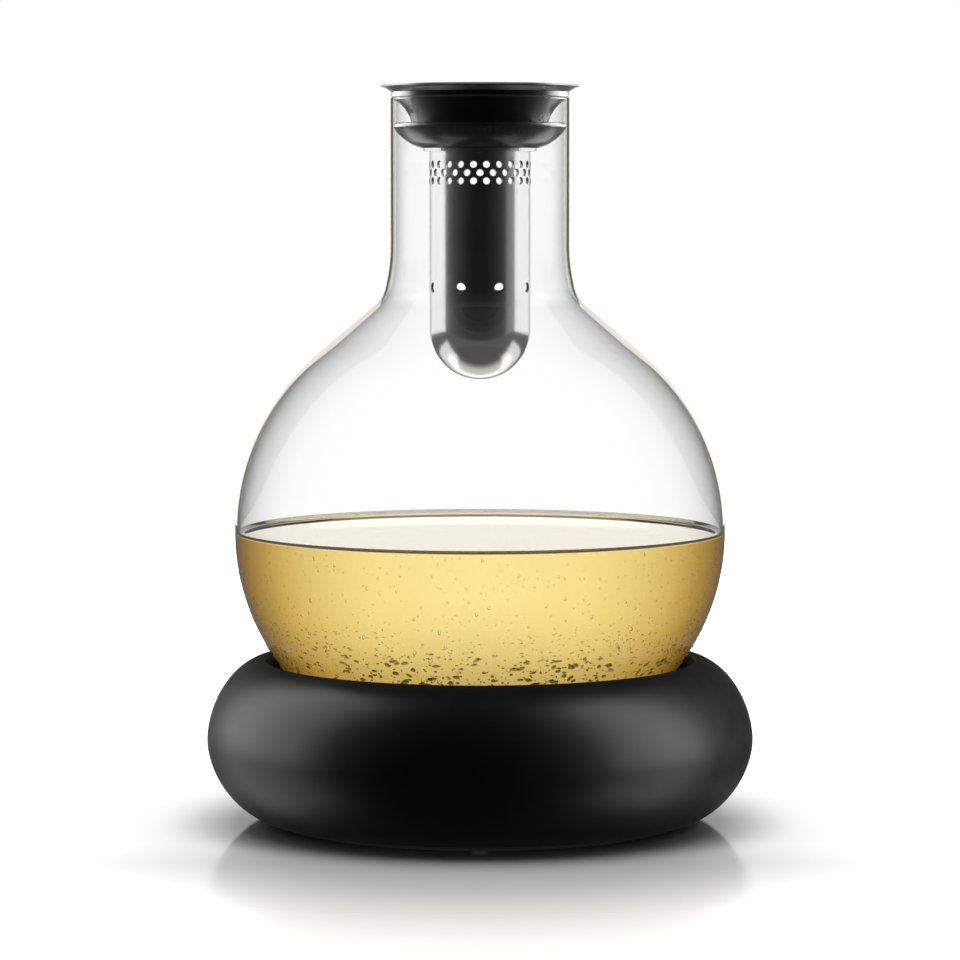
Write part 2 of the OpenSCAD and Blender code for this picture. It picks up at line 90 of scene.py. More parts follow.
def section(name):
    """A turned node's outline in the half-plane x >= 0, in order from the axis or from its lowest point.
    A flat disc has no point on the axis, so its middle is added."""
    mesh = frame["nodes"][name].data
    place = {v.index: (round(v.co.x, 7), round(v.co.z, 7)) for v in mesh.vertices
             if abs(v.co.y) < SAME_POINT and v.co.x > -ON_AXIS}
    links = {}
    for edge in mesh.edges:
        a, b = (place.get(i) for i in edge.vertices)
        if a and b and a != b:
            links.setdefault(a, set()).add(b)
            links.setdefault(b, set()).add(a)
    for rim in [p for p in links if len(links[p]) == 1 and p[0] > ON_AXIS]:
        middle = (0.0, rim[1])
        links.setdefault(middle, set()).add(rim)
        links[rim].add(middle)
    ends = sorted((p for p in links if p[0] < ON_AXIS), key=lambda p: p[1])
    at = ends[0] if ends else min(links, key=lambda p: (p[1], p[0]))
    outline, before = [at], None
    while True:
        ahead = [p for p in links[at]
                 if p != before and (p not in outline or p == outline[0] and len(outline) > 2)]
        if not ahead:
            break
        before, at = at, max(ahead, key=lambda p: (p[0], -p[1])) if before is None else ahead[0]
        if at == outline[0]:
            break
        outline.append(at)
        if at[0] < ON_AXIS:
            break
    return outline


def turn(a, b, c):
    """Signed angle that a line turns through at b."""
    angle = math.atan2(c[1] - b[1], c[0] - b[0]) - math.atan2(b[1] - a[1], b[0] - a[0])
    return (angle + math.pi) % (2 * math.pi) - math.pi


def finer(line, closed):
    """Halves every segment; on a curved stretch the new points bulge out as its turns say. A segment much
    longer than the one beside it is straight."""
    much_longer = 1.6
    count = len(line)

    def near(i):
        return line[i % count] if closed else line[min(max(i, 0), count - 1)]

    out = []
    for i in range(count if closed else count - 1):
        before, a, b, after = (near(i + step) for step in (-1, 0, 1, 2))
        bends = []
        for p, q, r, beside in ((before, a, b, math.dist(before, a)), (a, b, after, math.dist(b, after))):
            if p != q and q != r and abs(turn(p, q, r)) < SHARP:
                bends.append(0 if math.dist(a, b) > much_longer * beside else turn(p, q, r))
        bend = min(bends, key=abs) if bends else 0
        bulge = math.tan(bend / 4) / 2
        out += [a, ((a[0] + b[0]) / 2 + bulge * (b[1] - a[1]), (a[1] + b[1]) / 2 - bulge * (b[0] - a[0]))]
    return out if closed else out + [line[-1]]


# Meshes

def mesh_of(name, verts, faces):
    mesh = bpy.data.meshes.new(name)
    mesh.from_pydata(verts, [], faces)
    mesh.validate()
    return mesh


def piece(name, mesh, material):
    """A smooth-shaded object that keeps the sharp edges of its mesh."""
    mesh.materials.clear()
    mesh.polygons.foreach_set("use_smooth", [True] * len(mesh.polygons))
    mesh.set_sharp_from_angle(angle=SHARP)
    mesh.materials.append(material)
    obj = bpy.data.objects.new(name, mesh)
    bpy.context.scene.collection.objects.link(obj)
    return obj


def lathe(name, outline, closed, material):
    """A piece turned about Z from an outline; points on the axis become poles."""
    verts, rings, faces = [], [], []
    turns = [2 * math.pi * k / SIDES for k in range(SIDES)]
    for r, z in outline:
        start = len(verts)
        if r < ON_AXIS:
            verts.append((0, 0, z))
            rings.append([start] * SIDES)
        else:
            verts += [(r * math.cos(a), r * math.sin(a), z) for a in turns]
            rings.append(list(range(start, start + SIDES)))
    pairs = list(zip(rings, rings[1:])) + ([(rings[-1], rings[0])] if closed else [])
    for low, high in pairs:
        for k in range(SIDES):
            m = (k + 1) % SIDES
            face = [low[k], low[m], high[m], high[k]]
            faces.append([v for j, v in enumerate(face) if v != face[j - 1]])
    return piece(name, mesh_of(name, verts, [f for f in faces if len(f) > 2]), material)


def dress(obj, name, body):
    """obj stands for a node, which it hides, and rides on its body."""
    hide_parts(name)
    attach(obj, body)
    return obj


# Material helpers

def new_material(name):
    material = bpy.data.materials.new(name)
    material.use_nodes = True
    tree = material.node_tree
    return material, tree, tree.nodes["Principled BSDF"]


def set_inputs(tree, made, values):
    """Sets each named input of a shader node to a value, or links it to a socket."""
    for key, value in dict(values).items():
        if isinstance(value, bpy.types.NodeSocket):
            tree.links.new(value, made.inputs[key])
        else:
            made.inputs[key].default_value = value


def node(tree, kind, inputs=(), **options):
    made = tree.nodes.new(kind)
    for key, value in options.items():
        setattr(made, key, value)
    set_inputs(tree, made, inputs)
    return made


def calc(tree, operation, *values):
    return node(tree, "ShaderNodeMath", dict(enumerate(values)), operation=operation).outputs[0]


def place_of(tree):
    return node(tree, "ShaderNodeTexCoord").outputs["Object"]


def parts_of(tree, vector):
    """A vector's X, Y and Z."""
    return node(tree, "ShaderNodeSeparateXYZ", {0: vector}).outputs


def from_axis(tree, x, y):
    """Distance from the object's axis."""
    return calc(tree, "SQRT", calc(tree, "ADD", calc(tree, "MULTIPLY", x, x), calc(tree, "MULTIPLY", y, y)))


def facing(tree):
    """0 where the surface is seen straight on, 1 at its edges."""
    return node(tree, "ShaderNodeLayerWeight", {"Blend": 0.5}).outputs["Facing"]


def noise(tree, size, detail=4.0, vector=None):
    """Noise whose features are about size metres wide."""
    return node(tree, "ShaderNodeTexNoise", {
        "Vector": vector or place_of(tree), "Scale": 1 / size, "Detail": detail}).outputs["Fac"]


def mapped(tree, value, from_low, from_high, low, high, kind):
    return node(tree, "ShaderNodeMapRange", {
        "Value": value, "From Min": from_low, "From Max": from_high, "To Min": low, "To Max": high},
        interpolation_type=kind).outputs["Result"]


def between(tree, value, low, high, from_low=0.3, from_high=0.7):
    """value mapped to a range of numbers. The usual value is noise, most of which is from 0.3 to 0.7."""
    return mapped(tree, value, from_low, from_high, low, high, "LINEAR")


def eased(tree, value, from_low, from_high, low=0.0, high=1.0):
    """value mapped to a range of numbers with soft ends."""
    return mapped(tree, value, from_low, from_high, low, high, "SMOOTHSTEP")


def ramp(tree, value, stops):
    """value mapped to colours or greys at stops of (position, colour or grey)."""
    made = node(tree, "ShaderNodeValToRGB", {"Fac": value})
    elements = made.color_ramp.elements
    while len(elements) < len(stops):
        elements.new(0.5)
    for element, (position, colour) in zip(elements, stops):
        element.position = position
        element.color = (*colour, 1) if isinstance(colour, tuple) else (colour, colour, colour, 1)
    return made.outputs["Color"]


def tint(tree, value, low, high):
    """Noise turned into a colour between two colours."""
    return ramp(tree, value, ((0.3, low), (0.7, high)))


def bump(tree, height, depth):
    """Bump of a height from 0 to 1 that stands for depth metres."""
    return node(tree, "ShaderNodeBump", {"Height": height, "Distance": depth}).outputs["Normal"]


def emission(tree, colour, strength):
    return node(tree, "ShaderNodeEmission", {"Color": (*colour, 1), "Strength": strength})


def mixed(tree, share, first, second):
    """The first shader where share is 0, the second where it is 1."""
    return node(tree, "ShaderNodeMixShader", {0: share, 1: first.outputs[0], 2: second.outputs[0]})


def mixed_colour(tree, share, first, second):
    return node(tree, "ShaderNodeMix", {0: share, 6: first, 7: second}, data_type="RGBA").outputs[2]


def mixed_value(tree, share, first, second):
    return node(tree, "ShaderNodeMix", {0: share, 2: first, 3: second}, data_type="FLOAT").outputs[0]


def show(tree, shader):
    """Makes a shader the material's surface."""
    tree.links.new(shader.outputs[0], tree.nodes["Material Output"].inputs["Surface"])


def see_through(tree, shader, mirrored=None):
    """Lets shadow rays and mirrored rays straight through, so that what stands behind the surface is lit.
    Where a mirrored shader is given, mirrored rays see that instead."""
    path = node(tree, "ShaderNodeLightPath").outputs
    clear = node(tree, "ShaderNodeBsdfTransparent")
    seen = mixed(tree, path["Is Reflection Ray"], shader, mirrored or clear)
    show(tree, mixed(tree, path["Is Shadow Ray"], seen, clear))


# Materials

def moulded_plastic(name, dark, light, rough, specular):
    """Moulded plastic: a fine grain, cloudy gloss and a little change of tone."""
    material, tree, shader = new_material(name)
    set_inputs(tree, shader, {
        "Base Color": tint(tree, noise(tree, 18 * MM), dark, light),
        "Roughness": between(tree, noise(tree, 6 * MM), rough - 0.04, rough + 0.04),
        "Specular IOR Level": specular,
        "Normal": bump(tree, noise(tree, 0.25 * MM, 2.0), 0.004 * MM),
    })
    return material


def satin_shell():
    """The base's black satin skin, whose sheen grows only a little towards its edges."""
    material, tree, shader = new_material("black_shell")
    grain = bump(tree, noise(tree, 0.22 * MM, 2.0), 0.004 * MM)
    set_inputs(tree, shader, {
        "Base Color": tint(tree, noise(tree, 20 * MM), (0.0004, 0.0004, 0.0005), (0.0008, 0.0008, 0.0009)),
        "Roughness": 0.6,
        "Specular IOR Level": 0.0,
        "Normal": grain,
    })
    gloss = node(tree, "ShaderNodeBsdfAnisotropic", {
        "Color": (1, 1, 1, 1),
        "Roughness": between(tree, noise(tree, 7 * MM), 0.36, 0.4),
        "Normal": grain,
    })
    sheen = between(tree, calc(tree, "POWER", facing(tree), 2.0), 0.006, 0.05, from_low=0.0, from_high=1.0)
    show(tree, mixed(tree, sheen, shader, gloss))
    return material


def silicone():
    material, tree, shader = new_material("black_silicone")
    set_inputs(tree, shader, {
        "Base Color": tint(tree, noise(tree, 9 * MM), (0.008, 0.008, 0.009), (0.016, 0.016, 0.017)),
        "Roughness": between(tree, noise(tree, 9 * MM), 0.24, 0.28),
        "IOR": 1.5,
        "Normal": bump(tree, noise(tree, 0.5 * MM, 1.0), 0.0006 * MM),
    })
    return material


def foam():
    material, tree, shader = new_material("foam")
    cells = node(tree, "ShaderNodeTexVoronoi", {"Vector": place_of(tree), "Scale": 1 / (1.2 * MM)})
    set_inputs(tree, shader, {
        "Base Color": tint(tree, noise(tree, 5 * MM), (0.62, 0.6, 0.55), (0.76, 0.75, 0.71)),
        "Roughness": 0.95,
        "Normal": bump(tree, cells.outputs["Distance"], 0.3 * MM),
    })
    return material


def steel(name, grey, rough, brushed):
    """Stainless steel; brushed steel has fine scratches round the axis."""
    material, tree, shader = new_material(name)
    x, y, z = parts_of(tree, place_of(tree))
    round_axis = calc(tree, "MULTIPLY", calc(tree, "ARCTAN2", y, x), MM)
    drawn_out = node(tree, "ShaderNodeCombineXYZ", {"X": from_axis(tree, x, y), "Y": z, "Z": round_axis})
    scratches = noise(tree, 0.12 * MM, 3.0, drawn_out.outputs[0])
    smudge = noise(tree, 12 * MM)
    set_inputs(tree, shader, {
        "Base Color": tint(tree, smudge, tuple(g * 0.97 for g in grey), grey),
        "Metallic": 1.0,
        "Roughness": between(tree, smudge, rough * 0.85, rough * 1.15),
        "Normal": bump(tree, scratches, (0.004 if brushed else 0.0006) * MM),
    })
    return material


def glass():
    """Blown glass: clear, with the faint waves of its blowing, and painted shade that greys it towards its
    outline.
    """
    material, tree, shader = new_material("clear_glass")
    set_inputs(tree, shader, {
        # Painted shade: the glass's colour turns grey towards its outline, where it is seen edge-on.
        "Base Color": ramp(tree, facing(tree), (
            (0, (0.985, 0.99, 0.99)), (0.4, (0.97, 0.975, 0.975)), (0.7, (0.86, 0.865, 0.865)),
            (1, (0.6, 0.6, 0.6)))),
        "Roughness": 0.0,
        "IOR": 1.5,
        "Transmission Weight": 1.0,
        "Normal": bump(tree, noise(tree, 30 * MM, 1.0), 0.02 * MM),
    })
    see_through(tree, shader)
    return material


def wine_liquid():
    """White wine: clear, deeper in colour the longer the way through it, and lit a little from within by
    painted light. Its surface has a painted grey-olive shade, and mirrored rays see it as painted light."""
    material, tree, shader = new_material("wine")
    surface = node(tree, "ShaderNodeNewGeometry").outputs
    upward = parts_of(tree, surface["Normal"])["Z"]
    behind = parts_of(tree, place_of(tree))["Y"]
    deeper = ramp(tree, facing(tree), (
        (0, (1, 1, 1)), (0.1, (1, 0.88, 0.56)), (0.2, (0.95, 0.58, 0.14)), (0.26, (0.85, 0.4, 0.02))))
    # Painted reflection and shade: the wine's flat top and its far side take a dull grey-olive colour that
    # stands in for the dim light mirrored in them.
    painted_top_shade = ramp(tree, upward, ((0.9, (0.22, 0.2, 0.15)), (0.98, (0.42, 0.39, 0.31))))
    flat_or_behind = calc(tree, "MAXIMUM", eased(tree, behind, -10 * MM, 10 * MM),
                          eased(tree, upward, 0.93, 0.98))
    painted_top_share = calc(tree, "MULTIPLY", eased(tree, upward, 0.25, 0.5), flat_or_behind)
    set_inputs(tree, shader, {
        "Base Color": mixed_colour(tree, painted_top_share, deeper, painted_top_shade),
        "Roughness": 0.0,
        "IOR": 1.34,
        "Transmission Weight": 1.0,
        "Normal": bump(tree, noise(tree, 40 * MM, 1.0), 0.005 * MM),
    })
    # Painted reflection: mirrored rays see the wine's top and far side as a glowing light, not as lit liquid.
    shown = calc(tree, "MAXIMUM", surface["Backfacing"], eased(tree, upward, 0.6, 0.9, low=0.02))
    mirrored = calc(tree, "MULTIPLY", shown, eased(tree, behind, -15 * MM, 12 * MM, low=0.1, high=0.95))
    see_through(tree, shader, emission(tree, (1, 0.98, 0.93), mirrored))
    material.cycles.emission_sampling = "NONE"
    depth = node(tree, "ShaderNodeVolumeAbsorption", {"Color": (0.98, 0.8, 0.0, 1), "Density": 7.8})
    # Painted light: a faint orange emission in the wine's volume makes it look lit from within.
    painted_glow = emission(tree, (1.0, 0.7, 0.15), 0.3)
    both = node(tree, "ShaderNodeAddShader", {0: depth.outputs[0], 1: painted_glow.outputs[0]})
    tree.links.new(both.outputs[0], tree.nodes["Material Output"].inputs["Volume"])
    return material


def water():
    """Drops of dew with painted shade: dark just above the base in front and behind, clear at the sides and
    higher up.
    """
    material, tree, shader = new_material("water")
    x, _, z = parts_of(tree, place_of(tree))
    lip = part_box("base_shell")[1].z
    # Painted shade: where this mask is 0, in front and behind just above the base, the drops are dark brown
    # with a light middle; where it is 1 they are clear with slightly darkened edges.
    clear = calc(tree, "MAXIMUM", eased(tree, calc(tree, "ABSOLUTE", x), 30 * MM, 46 * MM),
                 eased(tree, z, lip + 4 * MM, lip + 11 * MM))
    painted_dark_drop = ramp(tree, facing(tree), (
        (0.02, (0.8, 0.75, 0.6)), (0.2, (0.3, 0.22, 0.1)), (0.5, (0.05, 0.035, 0.015))))
    clear_drop = ramp(tree, facing(tree), ((0.3, (1, 1, 1)), (0.8, (0.75, 0.68, 0.5))))
    set_inputs(tree, shader, {
        "Base Color": mixed_colour(tree, clear, painted_dark_drop, clear_drop),
        "Roughness": 0.0,
        "IOR": 1.33,
        "Transmission Weight": 1.0,
        "Normal": bump(tree, noise(tree, 0.8 * MM, 1.0), 0.01 * MM),
    })
    see_through(tree, shader)
    return material


def coolant():
    material, tree, shader = new_material("coolant")
    set_inputs(tree, shader, {
        "Base Color": tint(tree, noise(tree, 8 * MM), (0.22, 0.5, 0.66), (0.45, 0.72, 0.85)),
        "Roughness": 0.25,
        "Subsurface Weight": 0.5,
        "Subsurface Scale": 4 * MM,
        "Normal": bump(tree, noise(tree, 2 * MM), 0.1 * MM),
    })
    return material


def pale_floor():
    """White gloss floor: near the object it takes shadow; far from it, and a little beside and behind it,
    painted light from its emission makes it plain light. In mirrored views it is painted dim, as in a dark
    studio, except close behind and beside the object, and refracted views look past its far part. Its
    distances from the axis are in metres."""
    material, tree, shader = new_material("floor")
    x, y, _ = parts_of(tree, place_of(tree))
    away = from_axis(tree, x, y)
    # Painted light: the floor's emission rises with distance from the axis, so its shade fades out and it
    # turns plain white far off; a second painted light lifts the shade beside and behind the object.
    painted_far_light = calc(tree, "MULTIPLY", 2.0, ramp(tree, away, (
        (0.08, 0.0), (0.12, 0.05), (0.17, 0.1), (0.4, 0.2), (0.9, 0.6))))
    painted_light_beside = calc(tree, "MULTIPLY", eased(tree, y, -0.085, -0.045, high=0.16),
                      eased(tree, away, 0.08, 0.1))
    set_inputs(tree, shader, {
        "Base Color": tint(tree, noise(tree, 60 * MM), (0.9, 0.9, 0.9), (0.92, 0.92, 0.92)),
        "Roughness": between(tree, away, 0.08, 0.45, from_low=0.09, from_high=0.22),
        "Specular IOR Level": 0.5,
        "Emission Color": (1, 1, 1, 1),
        "Emission Strength": calc(tree, "ADD", painted_far_light, painted_light_beside),
        "Normal": bump(tree, noise(tree, 3 * MM), 0.002 * MM),
    })
    path = node(tree, "ShaderNodeLightPath").outputs
    # Painted reflection: mirrored rays see most of the floor as a flat dim emission, as if the studio were
    # dark, except close behind and beside the object.
    painted_dim_in_mirrors = calc(tree, "MAXIMUM", eased(tree, y, -0.1, -0.01, low=1.0, high=0.0),
                 eased(tree, away, 0.085, 0.115))
    lit = mixed(tree, calc(tree, "MULTIPLY", path["Is Reflection Ray"], painted_dim_in_mirrors),
                shader, emission(tree, (1, 1, 1), 0.13))
    far_off = calc(tree, "MULTIPLY", path["Is Transmission Ray"], eased(tree, away, 0.2, 0.45))
    show(tree, mixed(tree, far_off, lit, node(tree, "ShaderNodeBsdfTransparent")))
    material.cycles.emission_sampling = "NONE"
    return material


# Pieces

def turned(name, body, material, passes=2):
    """A finer copy of a node that is a plain body of revolution."""
    outline = section(name)
    closed = outline[0][0] > ON_AXIS
    for _ in range(passes):
        outline = finer(outline, closed)
    return dress(lathe(name + "_skin", outline, closed, material), name, body)


def glass_sides():
    """The carafe's outline parted at its rim: the outer side and the inner one, each from the foot up."""
    line = section("glass_carafe")
    rim = max(range(len(line)), key=lambda i: line[i][1])
    return line[:rim], line[rim:][::-1]


def wine_body(material):
    """The wine, which laps into the glass, so that no gap shows, and climbs a little up its wall. Its flat
    surface lies a little under the solid's, and its edge on the glass a little over it."""
    overlap, climb, sunk = 0.15 * MM, 1.3 * MM, 0.9 * MM
    film_steps, film_reach, film_fall, film_thick = 10, 2.2, 4.5, 0.05 * MM
    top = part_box("wine")[1].z - sunk
    _, inner = glass_sides()
    for _ in range(2):
        inner = finer(inner, False)
    wet = [p for p in inner if p[1] < top + climb]
    side = []
    for k, (r, z) in enumerate(wet):
        low, high = wet[max(k - 1, 0)], wet[min(k + 1, len(wet) - 1)]
        out = Vector((high[1] - low[1], low[0] - high[0])).normalized() * overlap
        side.append((r + out.x if r > SAME_POINT else 0, z + out.y))
    edge = side[-1][0] - overlap - film_thick
    film = []
    for k in range(film_steps + 1):
        share = k / film_steps
        height = climb * math.exp(-film_fall * share) * (1 - share)
        film.append((edge - climb * film_reach * share, top + height))
    obj = lathe("wine_body", side + film + [(0, top)], False, material)
    return dress(obj, "wine", "carafe")


def keep(name, material):
    """A CAD node that stays as it is, with a finer finish."""
    obj = frame["nodes"][name]
    obj.data.materials.clear()
    obj.data.materials.append(material)
    obj.data.polygons.foreach_set("use_smooth", [True] * len(obj.data.polygons))
    weld = obj.modifiers.new("weld", "WELD")
    weld.merge_threshold = SAME_POINT
    split = obj.modifiers.new("edges", "EDGE_SPLIT")
    split.split_angle = SHARP_IN_CAD
    return obj


def tube(material):
    """The drawn tube with its holes, shaded as a true cylinder and ball."""
    off_wall, off_square = 0.03 * MM, 0.97
    lower_part, ball_share = 30 * MM, 0.3
    mesh = frame["nodes"]["strainer_tube"].data.copy()
    work = bmesh.new()
    work.from_mesh(mesh)
    bmesh.ops.remove_doubles(work, verts=work.verts, dist=SAME_POINT)
    work.to_mesh(mesh)
    work.free()
    obj = piece("tube_skin", mesh, material)
    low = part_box("strainer_tube")[0].z
    middle = [math.hypot(v.co.x, v.co.y) for v in mesh.vertices
              if ball_share < (v.co.z - low) / lower_part < 1]
    outer, inner = max(middle), min(middle)
    ball = Vector((0, 0, low + outer))
    normals = []
    for face in mesh.polygons:
        for corner in face.loop_indices:
            at = mesh.vertices[mesh.loops[corner].vertex_index].co
            away = Vector((at.x, at.y, min(0.0, at.z - ball.z)))
            straight = away.normalized() if away.length > ON_AXIS else Vector((0, 0, -1))
            off = min(abs(away.length - outer), abs(away.length - inner))
            along = face.normal.dot(straight)
            smooth = off < off_wall and abs(along) > off_square
            normals.append(straight * math.copysign(1, along) if smooth
                           else mesh.corner_normals[corner].vector.copy())
    mesh.normals_split_custom_set(normals)
    return dress(obj, "strainer_tube", "tube")


# Dew

def glass_side():
    """The carafe's outer side above its foot, as a function from height to (radius, slope)."""
    foot = 30 * MM
    outer = [p for p in glass_sides()[0] if p[0] > foot]

    def at(z):
        for (r0, z0), (r1, z1) in zip(outer, outer[1:]):
            if z0 <= z <= z1:
                share = (z - z0) / (z1 - z0)
                return r0 + share * (r1 - r0), (r1 - r0) / (z1 - z0)
        raise ValueError(f"no glass at height {z}")
    return at


def drop(verts, faces, at, azimuth, z, wide, tall, tilt):
    """Adds a water drop to a list of points and faces: a low dome with an uneven rim, sunk a little into the
    glass. Larger drops have more points."""
    sink, steepness, unevenness, under_share = 0.1 * MM, 0.42, 0.12, 0.96
    sides, rings = (14, 3) if wide > 1.4 * MM else (8, 2)
    r, slope = at(z)
    out = Vector((math.cos(azimuth), math.sin(azimuth), -slope)).normalized()
    across = Vector((-math.sin(azimuth), math.cos(azimuth), 0))
    up = out.cross(across)
    middle = Vector((r * math.cos(azimuth), r * math.sin(azimuth), z))
    lumps = [random.uniform(-1, 1) for _ in range(3)]
    rise = steepness * min(wide, tall) / 2

    def point(k, share, height):
        a = 2 * math.pi * k / sides
        uneven = lumps[0] * math.cos(2 * a) + lumps[1] * math.sin(2 * a) + lumps[2] * math.cos(3 * a)
        reach = share * (1 + unevenness * uneven) / 2
        u, v = reach * wide * math.cos(a), reach * tall * math.sin(a)
        u, v = u * math.cos(tilt) - v * math.sin(tilt), u * math.sin(tilt) + v * math.cos(tilt)
        return middle + across * u + up * v + out * (height - (u * u + v * v) / (2 * r))

    start = len(verts)
    for ring in range(rings):
        a = math.pi / 2 * ring / rings
        verts += [point(k, math.cos(a), rise * math.sin(a)) for k in range(sides)]
    verts.append(point(0, 0, rise))
    verts += [point(k, under_share, -sink) for k in range(sides)]
    verts.append(point(0, 0, -sink))
    last = start + (rings - 1) * sides
    top = last + sides
    under = top + 1
    for ring in range(rings - 1):
        for k in range(sides):
            a, b = start + ring * sides + k, start + ring * sides + (k + 1) % sides
            faces.append((a, b, b + sides, a + sides))
    for k in range(sides):
        m = (k + 1) % sides
        faces.append((last + k, last + m, top))
        faces.append((start + m, start + k, under + k, under + m))
        faces.append((under + m, under + k, under + sides))


def dew(material):
    """Drops of dew on the cold glass: many just above the base, few and fine higher up."""
    band_drops, large_drops, fine_drops = 1700, 70, 1500
    below, band, spread = 4 * MM, 19 * MM, 0.35
    full_turn = 2 * math.pi
    at = glass_side()
    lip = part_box("base_shell")[1].z
    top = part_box("wine")[1].z
    verts, faces = [], []
    for _ in range(band_drops):
        height = lip - below + band * random.random() ** 1.5
        near = 1 - (height - lip + below) / band
        size = (0.5 + 1.5 * random.random() ** 4 * near) * MM
        drop(verts, faces, at, random.uniform(0, full_turn), height, size * random.uniform(1.1, 2.2), size,
             random.gauss(0, spread))
    for _ in range(large_drops):
        drop(verts, faces, at, random.uniform(0, full_turn), lip + random.uniform(-3, 7) * MM,
             random.uniform(1.5, 2.9) * MM, random.uniform(0.8, 1.5) * MM, random.gauss(0, spread))
    for _ in range(fine_drops):
        size = random.uniform(0.25, 0.55) * MM
        height = lip + (top - lip) * random.random() ** 1.3
        drop(verts, faces, at, random.uniform(0, full_turn), height, size, size * random.uniform(0.9, 1.5), 0)
    obj = piece("dew_drops", mesh_of("dew_drops", verts, faces), material)
    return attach(obj, "carafe")


# Studio

def camera():
    data = bpy.data.cameras.new("camera")
    data.lens = FOCAL
    data.sensor_width = SENSOR
    obj = bpy.data.objects.new("camera", data)
    bpy.context.scene.collection.objects.link(obj)
    obj.location = (0, -DISTANCE, EYE_HEIGHT)
    look_at(obj, (0, 0, AIM_HEIGHT))
    bpy.context.scene.camera = obj


def look_at(obj, target):
    obj.rotation_euler = (Vector(target) - obj.location).to_track_quat("-Z", "Y").to_euler()


def world():
    """White behind the object. Light seen through the glass falls off to the sides and upwards, and mirrored
    light is a dim room."""
    made = bpy.data.worlds.new("studio")
    bpy.context.scene.world = made
    made.use_nodes = True
    tree = made.node_tree
    path = node(tree, "ShaderNodeLightPath").outputs
    x, y, z = parts_of(tree, node(tree, "ShaderNodeTexCoord").outputs["Generated"])
    sideways = ramp(tree, calc(tree, "ABSOLUTE", x), (
        (0, 1.0), (0.2, 0.97), (0.5, 0.69), (0.65, 0.5), (0.8, 0.39), (1, 0.28)))
    upright = ramp(tree, calc(tree, "ABSOLUTE", z), ((0.2, 1.0), (0.45, 0.6), (0.8, 0.1)))
    brightness = 1.14
    through = calc(tree, "MULTIPLY", calc(tree, "MULTIPLY", sideways, upright), brightness)
    front_to_back = calc(tree, "MULTIPLY_ADD", y, 0.5, 0.5)
    room = ramp(tree, front_to_back, (
        (0, 0.012), (0.1, 0.03), (0.28, 0.09), (0.45, 0.25), (0.6, 0.28), (0.8, 0.12), (1, 0.07)))
    mirrors = calc(tree, "ADD", path["Glossy Depth"], path["Diffuse Depth"])
    plain = calc(tree, "MULTIPLY", path["Is Transmission Ray"], calc(tree, "LESS_THAN", mirrors, 0.5))
    light = mixed_value(tree, path["Is Camera Ray"], mixed_value(tree, plain, room, through), 1.0)
    set_inputs(tree, tree.nodes["Background"], {"Strength": light, "Color": (1, 1, 1, 1)})


def floor(material):
    corners = [(-FLOOR_SIDE, -FLOOR_FRONT, 0), (FLOOR_SIDE, -FLOOR_FRONT, 0),
               (FLOOR_SIDE, FLOOR_BACK, 0), (-FLOOR_SIDE, FLOOR_BACK, 0)]
    obj = piece("floor", mesh_of("floor", corners, [(0, 1, 2, 3)]), material)
    return obj


def group(name, objects):
    made = bpy.data.collections.new(name)
    for o in objects:
        made.objects.link(o)
    return made


def softbox(name, lit, azimuth, wide, radiance, height=PANEL_HEIGHT, distance=PANEL_DISTANCE, tall=PANEL_TALL,
            colour=(1, 1, 1), alone=False):
    """A soft panel at an angle from +Y round towards +X, facing the axis. It lights one group of pieces, and
    one that lights them alone is shadowed by no others."""
    data = bpy.data.lights.new(name, "AREA")
    data.shape = "RECTANGLE"
    data.size, data.size_y = wide, tall
    data.energy = radiance * math.pi * wide * tall
    data.color = colour
    obj = bpy.data.objects.new(name, data)
    bpy.context.scene.collection.objects.link(obj)
    a = math.radians(azimuth)
    obj.location = (distance * math.sin(a), distance * math.cos(a), height)
    look_at(obj, (0, 0, height))
    obj.visible_camera = False
    obj.visible_transmission = False
    obj.light_linking.receiver_collection = lit
    if alone:
        obj.light_linking.blocker_collection = lit
    return obj


